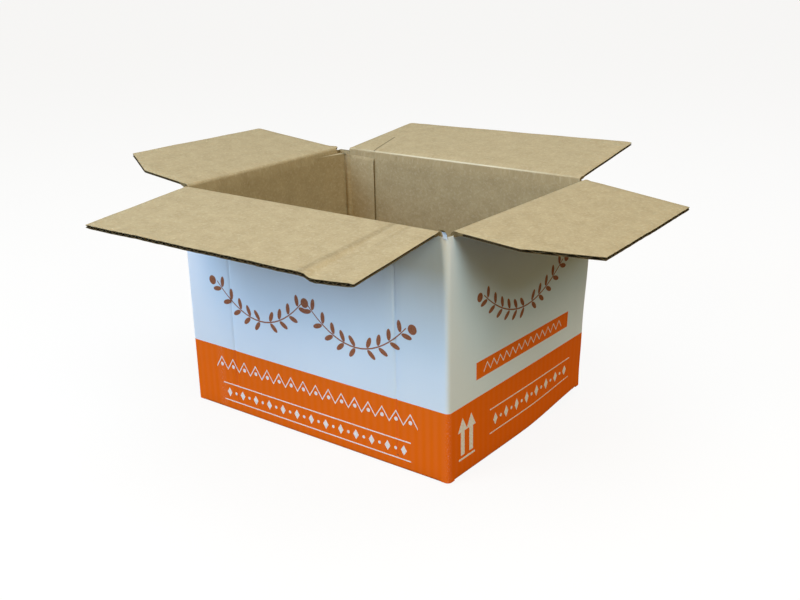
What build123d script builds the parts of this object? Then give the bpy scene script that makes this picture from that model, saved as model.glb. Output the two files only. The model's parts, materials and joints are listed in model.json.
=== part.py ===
"""Slotted shipping case of corrugated board, open, with its four top flaps folded outwards.

The frame stands on the case's underside: X runs along the case, Y across it from the printed front
panel (negative) to the back panel, and Z is up. Sizes are millimetres.
"""

from math import atan2, cos, degrees, hypot, radians, sin
import os

from build123d import *

os.makedirs("parts", exist_ok=True)

# The folded case, outside
case_length = 242.0  # along X
case_width = 182.0  # across, along Y
fold_height = 170.0  # floor to the line that the long flaps fold about

# The board: two liners with a fluted medium between them
board = 3.0
liner = 0.35
medium = 0.45  # along the board, between two channels
crest = 0.3  # through the board, where the medium meets a liner
flute_pitch = 6.4
flute_tip = 1.1  # width of a channel's narrow end

# Folds, slots and laps
corner_radius = 3.2  # outside of the four upright folds
inner_radius = 0.8  # inside of the four upright folds
floor_radius = 2.5  # outside of the fold under a long panel
floor_inner_radius = 0.6
roll_radius = 2.2  # outside of the rolled fold under a short panel
roll_clear = 0.6  # floor to the lowest point of that fold
roll_run = 3.6  # flat run under the short panel before the board climbs over the long flap
fold_zone = 10.0  # height of wall that belongs to a bottom fold
slot_inset = 6.5  # edge of the case to the side of a flap
slot_clear = 0.35
slot_drop = 0.5  # the slot's end lies this far below the fold
post_clear = 1.0  # floor to the lower end of a corner
lap_gap = 0.3  # adhesive or air between two layers of board
fold_gap = 0.15  # crushed board left out along a top fold
seam_gap = 0.8  # between two long flaps, edge to edge
seam_shift = 1.4  # the floor's seam lies this far behind the middle
overcut = 1.0  # a cutting shape runs this far past the board

# The glue tab, lapped on the inside of the back panel
tab_width = 41.0
tab_board = 1.2  # the tab's board is crushed flat for the joint
tab_bottom = 8.0
tab_top_inset = 3.0
tab_slant = 4.0
joint_inset = 1.5  # the back panel's free edge, short of the corner
tab_glue_margin = 5.0

# Top flaps: how far each one rises over the level, in degrees
front_rise = -5.0
back_rise = 4.3
left_rise = 4.3
right_rise = -6.0
crease_zone = 8.0  # board beside a fold whose flutes are crushed shut
trim_start = 47.0  # fold to where a short flap's trimmed corner begins
trim_inset = 24.0
side_groove = 1.6  # how deep a cut beside a flute opens the board's edge
right_edge_drop = 7.0  # the right flap is this much shorter at its back corner

# Press lines that the case has taken in handling
press_width = 2.4
panel_press_depth = 0.45
panel_press_flank = 60.0  # degrees
flap_press_depth = 0.2  # a line across hollow flutes dents the liner and doesn't open it
panel_press_right = 77.0
panel_press_left = 75.0
front_press_root = 110.0  # the line across the front flap starts near its right-hand corner
front_press_edge = 80.0
back_press_root = 81.0
back_press_edge = 92.0
back_press_end = 41.0

# Hot melt between the bottom flaps
bead_length = 52.0
bead_width = 6.0
bead_inset = 16.0

half_length = case_length / 2
half_width = case_width / 2
layer = board + lap_gap
short_fold_height = fold_height - layer / 2
short_lift = layer / 2  # a short flap's sheet stands off its fold line by this much
flap_depth = half_width - seam_gap / 2
long_reach = half_length - slot_inset
short_reach = half_width - slot_inset
tab_face = half_width - board - lap_gap
tab_edge = tab_width - half_length
floor_top = layer + board


def walls_and_tab():
    """Closed outline, in plan, of the run of board from the back panel's free edge to the tab's."""
    outside = [
        (joint_inset - half_length, half_width),
        (half_length, half_width),
        (half_length, -half_width),
        (-half_length, -half_width),
        (-half_length, tab_face),
        (tab_edge, tab_face),
    ]
    inside = [
        (tab_edge, tab_face - tab_board),
        (board - half_length, tab_face - tab_board),
        (board - half_length, board - half_width),
        (half_length - board, board - half_width),
        (half_length - board, half_width - board),
        (joint_inset - half_length, half_width - board),
    ]
    bends = [0] + [corner_radius] * 4 + [0, 0] + [inner_radius] * 4 + [0]
    return FilletPolyline(*outside, *inside, radius=bends, close=True)


def long_floor_fold(panel_face, flap_end):
    """Closed outline, in Y and Z, of a long panel's foot and the bottom flap that it carries."""
    inward = 1 if panel_face < 0 else -1
    inner_face = panel_face + inward * board
    return FilletPolyline(
        (panel_face, fold_zone),
        (panel_face, 0),
        (flap_end, 0),
        (flap_end, board),
        (inner_face, board),
        (inner_face, fold_zone),
        radius=[0, floor_radius, 0, 0, floor_inner_radius, 0],
        close=True,
    )


def short_floor_fold():
    """Closed outline, in X and Z, of the right panel's foot and its flap, which lies on the long ones."""
    flap_end = half_length - flap_depth
    climb = half_length - slot_inset - slot_clear
    return FilletPolyline(
        (half_length, fold_zone),
        (half_length, roll_clear),
        (half_length - roll_run, roll_clear),
        (climb, layer),
        (flap_end, layer),
        (flap_end, floor_top),
        (half_length - board, floor_top),
        (half_length - board, fold_zone),
        radius=[0, roll_radius, 0, 0, 0, 0, floor_inner_radius, 0],
        close=True,
    )


def fold_bevel(panel_face, height):
    """Outline of what is cut off a panel's top, so that its edge slopes down to the inside."""
    inward = 1 if panel_face < 0 else -1
    above = fold_height + board
    return Polyline(
        (panel_face - inward * overcut, height - fold_gap + overcut),
        (panel_face + inward * (board + overcut), height - fold_gap - board - overcut),
        (panel_face + inward * (board + overcut), above),
        (panel_face - inward * overcut, above),
        close=True,
    )


channel_height = board - 2 * liner - crest
flank_run = (flute_pitch / 2 - medium - flute_tip) / (1 - crest / channel_height)
channel_width = flute_tip + 2 * flank_run
flank_angle = degrees(atan2(channel_height, flank_run))


def flute_places(width, height):
    """Centres of the hollow channels on one side of the medium, in a row as wide as the edge."""
    count = int(width / flute_pitch)
    return [(flute_pitch * (step - (count - 1) / 2), height) for step in range(count)]


def add_flutes(width, base):
    """Add both rows of channels to the open sketch: wide end on the lower liner, then the upper."""
    low = base + liner + channel_height / 2
    high = base + board - liner - channel_height / 2
    with Locations(*flute_places(width, low)):
        Trapezoid(channel_width, channel_height, flank_angle)
    with Locations(*flute_places(width - flute_pitch, high)):
        Trapezoid(channel_width, channel_height, flank_angle, rotation=180)


# The sheet: walls, glue tab and the closed bottom, as one piece of board
with BuildPart() as case_body:
    with BuildSketch(Plane.XY.offset(post_clear)):
        with BuildLine():
            walls_and_tab()
        make_face()
    extrude(amount=fold_height - post_clear)

    # The slots' ends, and the walls' feet between the slots
    with BuildSketch(Plane.XY.offset(fold_height - slot_drop)):
        Rectangle(case_length + board, case_width + board)
        Rectangle(2 * long_reach + 2 * slot_clear, case_width + board, mode=Mode.SUBTRACT)
        Rectangle(case_length + board, 2 * short_reach + 2 * slot_clear, mode=Mode.SUBTRACT)
    extrude(amount=board, mode=Mode.SUBTRACT)
    with BuildSketch():
        Rectangle(2 * long_reach, case_width + board)
        Rectangle(case_length + board, 2 * short_reach)
    extrude(amount=fold_zone, mode=Mode.SUBTRACT)

    # The tab is cut short at both ends and its top runs down to its free edge
    with BuildSketch(Plane.XZ.offset(-tab_face - lap_gap / 2)):
        with BuildLine():
            Polyline(
                (corner_radius - half_length, fold_height - tab_top_inset),
                (tab_edge + overcut, fold_height - tab_top_inset - tab_slant),
                (tab_edge + overcut, fold_height + overcut),
                (corner_radius - half_length, fold_height + overcut),
                close=True,
            )
        make_face()
        with Locations(((corner_radius - half_length + tab_edge + overcut) / 2, tab_bottom / 2)):
            Rectangle(tab_edge + overcut + half_length - corner_radius, tab_bottom)
    extrude(amount=layer, mode=Mode.SUBTRACT)

    # Bottom flaps: the long ones meet at the seam, the short ones lie on top of them
    with BuildSketch(Plane.YZ):
        with BuildLine():
            long_floor_fold(-half_width, seam_shift - seam_gap / 2)
        make_face()
        with BuildLine():
            long_floor_fold(half_width, seam_shift + seam_gap / 2)
        make_face()
    extrude(amount=long_reach, both=True)
    with BuildSketch(Plane.XZ):
        with BuildLine():
            short_floor_fold()
        make_face()
        mirror(about=Plane.YZ)
    extrude(amount=short_reach, both=True)
    for end_plane in (
        Plane((half_length - flap_depth, 0, layer), x_dir=(0, 1, 0), z_dir=(-1, 0, 0)),
        Plane((flap_depth - half_length, 0, layer), x_dir=(0, -1, 0), z_dir=(1, 0, 0)),
    ):
        with BuildSketch(end_plane):
            add_flutes(2 * short_reach, 0)
        extrude(amount=-(flap_depth - fold_zone), mode=Mode.SUBTRACT)

    # The panels' tops slope inwards and down, where the board is crushed along the fold
    with BuildSketch(Plane.YZ):
        for face in (-half_width, half_width):
            with BuildLine():
                fold_bevel(face, fold_height)
            make_face()
    extrude(amount=long_reach + slot_clear, both=True, mode=Mode.SUBTRACT)
    with BuildSketch(Plane.XZ):
        for face in (-half_length, half_length):
            with BuildLine():
                fold_bevel(face, short_fold_height)
            make_face()
    extrude(amount=short_reach + slot_clear, both=True, mode=Mode.SUBTRACT)

    # Upright press lines on the front panel
    with BuildSketch(Plane.XY.offset(fold_zone)):
        with Locations((panel_press_right, -half_width), (-panel_press_left, -half_width)):
            Trapezoid(press_width, 2 * panel_press_depth, panel_press_flank)
    extrude(amount=fold_height, mode=Mode.SUBTRACT)
case_body.part.label = "case_body"


def flap_block(plane, reach, lift):
    """The flap's cross-section, drawn out along its fold and bevelled at 45 degrees at the root."""
    section = Plane(plane.origin, x_dir=plane.y_dir, z_dir=plane.x_dir)
    with BuildSketch(section) as profile:
        with BuildLine():
            Polyline(
                (0, 0),
                (max(2 * lift, board), lift),
                (flap_depth, lift),
                (flap_depth, lift + board),
                (lift + board, lift + board),
                close=True,
            )
        make_face()
    extrude(profile.sketch, amount=reach, both=True)


def open_edges(plane, reach, lift):
    """Open the flutes at the flap's outer edge, and the board along its two cut sides."""
    rim = Plane(plane.origin + plane.y_dir * flap_depth, x_dir=-plane.x_dir, z_dir=plane.y_dir)
    with BuildSketch(rim) as openings:
        add_flutes(2 * reach - 2 * side_groove - flute_pitch / 2, lift)
        with Locations((-reach, lift + board / 2), (reach, lift + board / 2)):
            Rectangle(2 * side_groove, board - 2 * liner)
    extrude(openings.sketch, amount=-(flap_depth - crease_zone), mode=Mode.SUBTRACT)


def resting(origin, along, rise):
    """The plane that a flap lies in: X along its fold, Y outwards, turned up from the level."""
    up = Vector(0, 0, 1)
    outwards = up.cross(Vector(along))
    normal = up * cos(radians(rise)) - outwards * sin(radians(rise))
    return Plane(origin, x_dir=along, z_dir=normal)


front_plane = resting((0, -half_width, fold_height), (-1, 0, 0), front_rise)
back_plane = resting((0, half_width, fold_height), (1, 0, 0), back_rise)
left_plane = resting((-half_length, 0, short_fold_height), (0, 1, 0), left_rise)
right_plane = resting((half_length, 0, short_fold_height), (0, -1, 0), right_rise)


def press_line(plane, root_place, edge_place, start, end):
    """A slanting groove in a long flap's inner face, between two distances from the fold."""
    slant = atan2(edge_place - root_place, end - start)
    length = hypot(edge_place - root_place, end - start) + press_width
    with BuildSketch(plane.offset(board)) as groove:
        with Locations(((root_place + edge_place) / 2, (start + end) / 2)):
            Rectangle(press_width, length, rotation=-degrees(slant))
    extrude(groove.sketch, amount=-flap_press_depth, mode=Mode.SUBTRACT)


def trim_short_flap(plane, side, edge_drop):
    """Cut the corner towards the front panel off, and slope the outer edge down to the other one."""
    with BuildSketch(plane) as offcut:
        with BuildLine():
            Polyline(
                (side * short_reach, trim_start),
                (side * (short_reach - trim_inset), flap_depth),
                (-side * short_reach, flap_depth - edge_drop),
                (-side * (short_reach + overcut), flap_depth + overcut),
                (side * (short_reach + overcut), flap_depth + overcut),
                (side * (short_reach + overcut), trim_start),
                close=True,
            )
        make_face()
    extrude(offcut.sketch, amount=short_lift + 2 * board, mode=Mode.SUBTRACT)


with BuildPart() as front_flap:
    flap_block(front_plane, long_reach, 0)
    open_edges(front_plane, long_reach, 0)
    press_line(front_plane, -front_press_root, -front_press_edge, 2 * board, flap_depth)
front_flap.part.label = "front_flap"

with BuildPart() as back_flap:
    flap_block(back_plane, long_reach, 0)
    open_edges(back_plane, long_reach, 0)
    press_line(back_plane, -back_press_root, -back_press_edge, 2 * board, back_press_end)
back_flap.part.label = "back_flap"

with BuildPart() as left_flap:
    flap_block(left_plane, short_reach, short_lift)
    open_edges(left_plane, short_reach, short_lift)
    trim_short_flap(left_plane, -1, 0)
left_flap.part.label = "left_flap"

with BuildPart() as right_flap:
    flap_block(right_plane, short_reach, short_lift)
    open_edges(right_plane, short_reach, short_lift)
    trim_short_flap(right_plane, 1, right_edge_drop)
right_flap.part.label = "right_flap"

# Adhesive film between the tab and the back panel
with BuildPart() as tab_glue:
    glue_left = corner_radius + tab_glue_margin - half_length
    glue_right = tab_edge - tab_glue_margin
    glue_bottom = tab_bottom + tab_glue_margin
    glue_top = fold_height - tab_top_inset - tab_slant - tab_glue_margin
    with BuildSketch(Plane.XZ.offset(-tab_face)):
        with Locations(((glue_left + glue_right) / 2, (glue_bottom + glue_top) / 2)):
            Rectangle(glue_right - glue_left, glue_top - glue_bottom)
    extrude(amount=-lap_gap)
tab_glue.part.label = "tab_glue"

# Beads of hot melt that hold the short bottom flaps down on the long ones
bead_x = half_length - flap_depth / 2
bead_y = half_width / 2
with BuildPart() as floor_glue:
    with BuildSketch(Plane.XY.offset(board)):
        for x in (-bead_x, bead_x):
            for y in (-bead_y - bead_inset, -bead_y + bead_inset, bead_y - bead_inset, bead_y + bead_inset):
                with Locations((x, y)):
                    SlotOverall(bead_length, bead_width)
    extrude(amount=lap_gap)
floor_glue.part.label = "floor_glue"

export_step(case_body.part, "parts/case_body.step")
export_step(front_flap.part, "parts/front_flap.step")
export_step(back_flap.part, "parts/back_flap.step")
export_step(left_flap.part, "parts/left_flap.step")
export_step(right_flap.part, "parts/right_flap.step")
export_step(tab_glue.part, "parts/tab_glue.step")
export_step(floor_glue.part, "parts/floor_glue.step")
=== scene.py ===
"""Looks of an open slotted shipping case: corrugated board, printed outside and bare kraft inside.

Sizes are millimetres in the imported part's frame: X along the case, Y across it, Z up. A place on the
flat blank is a pair too: U along the row of panels, from the middle of the front one, and V up from
the floor and on over the folds. Each surface keeps its blank place in its UV map, so print, flutes and
wear run over a fold as they do on the real sheet.
"""

import json
import logging
import math
from collections.abc import Callable, Iterable, Sequence
from dataclasses import dataclass, field, replace
from enum import Enum

import bpy
from mathutils import Matrix, Vector, noise


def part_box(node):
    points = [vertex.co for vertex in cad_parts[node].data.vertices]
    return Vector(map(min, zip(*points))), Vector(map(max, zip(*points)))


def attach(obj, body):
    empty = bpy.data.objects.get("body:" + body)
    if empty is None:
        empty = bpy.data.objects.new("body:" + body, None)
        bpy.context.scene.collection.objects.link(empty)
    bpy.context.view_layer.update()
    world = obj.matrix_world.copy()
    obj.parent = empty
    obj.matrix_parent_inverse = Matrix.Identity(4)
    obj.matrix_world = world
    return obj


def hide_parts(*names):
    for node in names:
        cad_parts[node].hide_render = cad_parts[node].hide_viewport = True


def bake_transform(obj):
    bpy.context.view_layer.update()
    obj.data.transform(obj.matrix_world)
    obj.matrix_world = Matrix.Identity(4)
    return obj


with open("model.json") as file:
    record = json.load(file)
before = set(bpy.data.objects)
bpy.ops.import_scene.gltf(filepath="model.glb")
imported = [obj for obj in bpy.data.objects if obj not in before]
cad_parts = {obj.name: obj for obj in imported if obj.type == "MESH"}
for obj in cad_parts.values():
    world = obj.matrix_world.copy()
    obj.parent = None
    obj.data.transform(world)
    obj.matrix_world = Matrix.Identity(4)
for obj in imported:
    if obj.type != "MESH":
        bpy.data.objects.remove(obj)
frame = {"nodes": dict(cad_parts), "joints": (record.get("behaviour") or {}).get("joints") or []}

LOG = logging.getLogger("shipping_case")
MM = 0.001
BLANK_MAP = "blank"

Point = tuple[float, float, float]
Spot = tuple[float, float, float, float, float]  # X, Y and Z, then U and V on the blank
Outline = list[tuple[float, float]]
Section = list[tuple[float, float, float, float]]  # distance out, height, share of the turn, V
Column = Callable[[float, float], Spot]  # places a point of an upright line from its height and depth


def linear(code: str, alpha: float = 1.0) -> tuple[float, float, float, float]:
    """Turn an sRGB hex colour into the linear values that Blender's sockets take.

    Args:
        code: Colour as "#RRGGBB".
        alpha: Fourth value, given back as it is.

    Returns:
        Linear red, green and blue, and alpha.
    """
    parts = [int(code[start:start + 2], 16) / 255 for start in (1, 3, 5)]
    red, green, blue = (part / 12.92 if part <= 0.04045 else ((part + 0.055) / 1.055) ** 2.4
                        for part in parts)
    return red, green, blue, alpha


def add_node(tree: bpy.types.NodeTree, kind: str, inputs: dict | None = None, **settings) -> bpy.types.Node:
    """Add one node to a tree, with its settings, values and links.

    Args:
        tree: Node tree that gets the node.
        kind: Blender's name for the node type.
        inputs: Socket name or number to a value, or to an output socket to link from.
        **settings: Properties of the node itself.

    Returns:
        The new node.
    """
    node = tree.nodes.new(kind)
    for name, value in settings.items():
        setattr(node, name, value)
    for name, value in (inputs or {}).items():
        if isinstance(value, bpy.types.NodeSocket):
            tree.links.new(value, node.inputs[name])
        else:
            node.inputs[name].default_value = value
    return node


def smooth(low: float, high: float, value: float) -> float:
    """Give 0 at low, 1 at high, and an even S between them; low may be the larger."""
    share = min(1.0, max(0.0, (value - low) / (high - low)))
    return share * share * (3 - 2 * share)


def spread(start: float, end: float, step: float, stops: Iterable[float] = ()) -> list[float]:
    """List places from start to end, about a step apart, that take in every stop between them.

    Args:
        start: First place.
        end: Last place.
        step: Widest distance between two places.
        stops: Places that must be in the list; those outside start and end are left out.

    Returns:
        The places in rising order.
    """
    fixed = sorted({start, end, *(stop for stop in stops if start < stop < end)})
    places = [start]
    for low, high in zip(fixed, fixed[1:]):
        count = max(1, math.ceil((high - low) / step))
        places += [low + (high - low) * part / count for part in range(1, count + 1)]
    return places


class Surface(Enum):
    """The board's own surfaces, in the order of the mesh's material slots."""

    PRINT = 0
    KRAFT = 1
    CUT = 2
    FLUTE = 3


@dataclass(frozen=True)
class Board:
    """B flute board: two liners and the wavy medium between them."""

    thickness: float = 3.0
    liner: float = 0.35
    medium: float = 0.3
    pitch: float = 6.4
    wave_steps: int = 12

    @property
    def hollow(self) -> float:
        """Height between the two liners."""
        return self.thickness - 2 * self.liner

    def wave(self, u: float) -> tuple[float, float, float]:
        """Give the medium's middle line beside a place on the blank.

        Args:
            u: Place along the blank.

        Returns:
            Depth of the line under the outer face, and its normal along the blank and in depth.
        """
        swing = (self.hollow - self.medium) / 2
        angle = 2 * math.pi * u / self.pitch
        slope = swing * 2 * math.pi / self.pitch * math.cos(angle)
        length = math.hypot(1, slope)
        return self.thickness / 2 + swing * math.sin(angle), -slope / length, 1 / length


class BoardMesh:
    """Gathers a piece's faces, with the blank place and the surface of each."""

    weld_grid = 5000  # points in a millimetre: nearer ones are one point
    sharp_angle = math.radians(35)

    def __init__(self) -> None:
        """Start with no points and no faces."""
        self.points: list[Point] = []
        self.index: dict[tuple[int, int, int], int] = {}
        self.faces: list[tuple[list[int], list[tuple[float, float]], int]] = []

    def corner(self, spot: Spot) -> int:
        """Give the number of the point at a spot, and add the point if it is new.

        Args:
            spot: The point and its place on the blank.

        Returns:
            The point's number in the mesh.
        """
        key = tuple(round(value * self.weld_grid) for value in spot[:3])
        if key not in self.index:
            self.index[key] = len(self.points)
            self.points.append(spot[:3])
        return self.index[key]

    def face(self, spots: Sequence[Spot], surface: Surface) -> None:
        """Add one face; corners that fall on one point are taken once.

        Args:
            spots: Its corners, counter-clockwise as seen from its front.
            surface: Which surface of the board it is.
        """
        corners, places = [], []
        for spot in spots:
            number = self.corner(spot)
            if number not in corners:
                corners.append(number)
                places.append(spot[3:])
        if len(corners) > 2:
            self.faces.append((corners, places, surface.value))

    def strip(self, rows: Sequence[Sequence[Spot]], surface: Surface, flip: bool = False) -> None:
        """Add the quads between rows of spots.

        Args:
            rows: Rows from bottom to top, each from left to right as seen from the front.
            surface: Which surface of the board the quads are.
            flip: Whether they are seen from the other side.
        """
        for low, high in zip(rows, rows[1:]):
            for left in range(len(low) - 1):
                quad = [low[left], low[left + 1], high[left + 1], high[left]]
                self.face(quad[::-1] if flip else quad, surface)

    def cut_sides(self, over: Sequence[Sequence[Spot]], under: Sequence[Sequence[Spot]]) -> None:
        """Close a sheet along the first and the last place of its rows.

        Args:
            over: Rows of its outer face.
            under: Rows of its inner face.
        """
        for place, flip in ((0, False), (-1, True)):
            edge = [[inner[place], outer[place]] for outer, inner in zip(over, under)]
            self.strip(edge, Surface.CUT, flip=flip)

    def build(self, name: str, materials: Sequence[bpy.types.Material]) -> bpy.types.Object:
        """Make the Blender object.

        Args:
            name: Name of the piece.
            materials: One material for each surface.

        Returns:
            The object, in metres.
        """
        mesh = bpy.data.meshes.new(name)
        mesh.from_pydata([[value * MM for value in point] for point in self.points], [],
                         [corners for corners, _, _ in self.faces])
        blank = mesh.uv_layers.new(name=BLANK_MAP)
        places = [place for _, face_places, _ in self.faces for place in face_places]
        blank.data.foreach_set("uv", [value * MM for place in places for value in place])
        mesh.polygons.foreach_set("material_index", [surface for _, _, surface in self.faces])
        for material in materials:
            mesh.materials.append(material)
        mesh.shade_smooth()
        mesh.set_sharp_from_angle(angle=self.sharp_angle)
        mesh.validate()
        piece = bpy.data.objects.new(name, mesh)
        bpy.context.scene.collection.objects.link(piece)
        return piece


@dataclass(frozen=True)
class Panel:
    """An upright panel as seen from outside, where its U runs to the right."""

    name: str
    middle: tuple[float, float]
    along: tuple[float, float]
    outward: tuple[float, float]
    start: float
    end: float
    blank_u: float
    settle: Callable[[float, float, float], Point]
    bow: float = 0.0
    presses: tuple[float, ...] = ()
    press_depth: float = 0.75
    press_width: float = 1.0
    bow_low: float = 10.0
    bow_high: float = 160.0
    press_high: float = 148.0

    def bulge(self, u: float, z: float) -> float:
        """Tell how far the outer face stands out at a place, by its bow and its press lines.

        Args:
            u: Place along the panel from its middle.
            z: Height.

        Returns:
            The distance out of the flat face.
        """
        across = math.cos(math.pi * u / (self.end - self.start)) ** 2
        share = min(1.0, max(0.0, (z - self.bow_low) / (self.bow_high - self.bow_low)))
        upright = math.sin(math.pi * share) ** 2
        groove = sum(math.exp(-((u - press) / self.press_width) ** 2) for press in self.presses)
        run = smooth(0, self.bow_low, z) * (1 - smooth(self.press_high, self.bow_high, z))
        return self.bow * across * upright - self.press_depth * groove * run

    def plan(self, u: float, out: float) -> tuple[float, float]:
        """Give X and Y of a place along the panel, so far out of its flat face."""
        return (self.middle[0] + self.along[0] * u + self.outward[0] * out,
                self.middle[1] + self.along[1] * u + self.outward[1] * out)

    def spot(self, u: float, z: float, depth: float) -> Spot:
        """Place a point of the panel.

        Args:
            u: Place along the panel from its middle.
            z: Height.
            depth: How far under the outer face.

        Returns:
            The point, and its place on the blank.
        """
        x, y = self.plan(u, self.bulge(u, z) - depth)
        return *self.settle(x, y, z), self.blank_u + u, z


@dataclass(frozen=True)
class Handling:
    """What handling did to the back right corner: it leans out halfway up, and its foot is blunt."""

    start_x: float = 40.0
    start_y: float = -20.0
    lean: float = 3.4
    lean_start: float = 50.0
    lean_full: float = 122.0
    lean_ebb: float = 130.0
    lean_end: float = 158.0
    tuck: float = 1.3
    tuck_full: float = 8.0
    tuck_end: float = 55.0
    blunt: float = 6.0
    blunt_x: float = 104.0
    blunt_y: float = 5.0
    blunt_past: float = 12.0
    blunt_end: float = 45.0


@dataclass(frozen=True)
class CaseSize:
    """The case's sizes. Those that the frame knows are read from it."""

    half_length: float
    half_width: float
    fold_height: float
    short_fold_height: float
    long_reach: float
    short_reach: float
    board: Board = Board()
    handling: Handling = Handling()
    fold_zone: float = 10.0
    slot_clear: float = 0.35
    slot_drop: float = 0.5
    post_foot: float = 1.0
    corner_radius: float = 3.2
    corner_flare: float = 1.3
    flare_start: float = 125.0
    floor_radius: float = 2.5
    floor_inner_radius: float = 0.6
    roll_radius: float = 2.2
    roll_clear: float = 0.6
    roll_run: float = 3.6
    roll_ramp: float = 1.5
    tab_bend: float = 3.2
    tab_board: float = 1.2
    tab_gap: float = 0.3
    tab_width: float = 41.0
    tab_bottom: float = 8.0
    tab_top_inset: float = 3.0
    tab_slant: float = 1.0
    tab_crush: float = 0.92
    tab_feather: float = 3.0
    joint_inset: float = 1.5
    root_inset: float = 6.5
    seam_gap: float = 0.8
    seam_shift: float = 1.4
    layer: float = 3.3

    @classmethod
    def from_frame(cls) -> "CaseSize":
        """Read the folds' places from the joints and the flaps' widths from the nodes' boxes.

        Returns:
            The sizes.
        """
        folds = {joint["name"]: [value / MM for value in joint["pos_m"]] for joint in frame["joints"]}
        front, right = folds["front_flap_fold"], folds["right_flap_fold"]
        return cls(
            half_length=right[0],
            half_width=-front[1],
            fold_height=front[2],
            short_fold_height=right[2],
            long_reach=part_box("front_flap")[1].x / MM,
            short_reach=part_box("right_flap")[1].y / MM,
        )

    @property
    def panel_top(self) -> float:
        """Height where the walls end and the flaps' own meshes start."""
        return self.fold_height - self.fold_zone

    @property
    def flap_depth(self) -> float:
        """Fold to outer edge; two long flaps meet over the middle."""
        return self.half_width - self.seam_gap / 2

    @property
    def tab_face(self) -> float:
        """Outer face of the glue tab, inside the back panel."""
        return self.half_width - self.board.thickness - self.tab_gap

    @property
    def tab_top(self) -> float:
        """Height of the glue tab's upper edge at its fold."""
        return self.fold_height - self.tab_top_inset

    def radius(self, z: float) -> float:
        """Outer radius of an upright fold, which opens a little towards its top."""
        return self.corner_radius + self.corner_flare * smooth(self.flare_start, self.fold_height, z)

    def settle(self, x: float, y: float, z: float) -> Point:
        """Move a point of the walls as handling has.

        Args:
            x: The point's X.
            y: Its Y.
            z: Its height.

        Returns:
            The moved point.
        """
        moved = self.handling
        back = smooth(moved.start_y, self.half_width, y)
        right = smooth(moved.start_x, self.half_length, x)
        lean = moved.lean * smooth(moved.lean_start, moved.lean_full, z)
        lean *= 1 - smooth(moved.lean_ebb, moved.lean_end, z)
        lean -= moved.tuck * (1 - smooth(moved.tuck_full, moved.tuck_end, z))
        foot = smooth(moved.blunt_y, self.half_width + moved.blunt_past, y)
        foot *= smooth(moved.blunt_x, self.half_length, x)
        rise = moved.blunt * foot * (1 - smooth(0, moved.blunt_end, z))
        return x + lean * back * right, y, z + rise


class PanelRow:
    """The row of panels as it lies on the blank: tab, left, front, right and back."""

    def __init__(self, size: CaseSize) -> None:
        """Place the five panels round the case.

        Args:
            size: Sizes of the case.
        """
        length, width = size.half_length, size.half_width
        self.size = size
        self.front = Panel("front", (0, -width), (1, 0), (0, -1), -length, length, 0, size.settle,
                           bow=0.7, presses=(78.5, -75.0))
        self.right = Panel("right", (length, 0), (0, 1), (1, 0), -width, width, length + width,
                           size.settle, bow=0.5)
        self.back = Panel("back", (0, width), (-1, 0), (0, 1), -length, length - size.joint_inset,
                          2 * (length + width), size.settle, bow=0.6)
        self.left = Panel("left", (-length, 0), (0, -1), (-1, 0), -size.tab_face, width,
                          -length - width, size.settle, bow=0.5)
        self.tab = Panel("tab", (size.tab_width / 2 - length, size.tab_face), (-1, 0), (0, 1),
                         -size.tab_width / 2, size.tab_width / 2,
                         -length - width - size.tab_face - size.tab_width / 2, size.settle)
        self.folds = ((self.left, self.front), (self.front, self.right), (self.right, self.back))

    def bend(self, before: Panel, after: Panel, share: float, z: float, depth: float) -> Spot:
        """Place a point of the upright fold between two panels.

        Args:
            before: Panel to the left of the fold, as seen from outside.
            after: Panel to its right.
            share: 0 at the first panel, 1 at the second.
            z: Height.
            depth: How far under the outer face.

        Returns:
            The point, and its place on the blank.
        """
        radius = self.size.tab_bend if before is self.tab else self.size.radius(z)
        x, y = before.plan(before.end, 0)
        angle = share * math.pi / 2
        out_x = before.outward[0] * math.cos(angle) + after.outward[0] * math.sin(angle)
        out_y = before.outward[1] * math.cos(angle) + after.outward[1] * math.sin(angle)
        centre_x = x - radius * (before.outward[0] + after.outward[0])
        centre_y = y - radius * (before.outward[1] + after.outward[1])
        blank = before.blank_u + before.end + radius * (2 * share - 1)
        reach = max(radius - depth, 0.0)
        return *self.size.settle(centre_x + out_x * reach, centre_y + out_y * reach, z), blank, z


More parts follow.
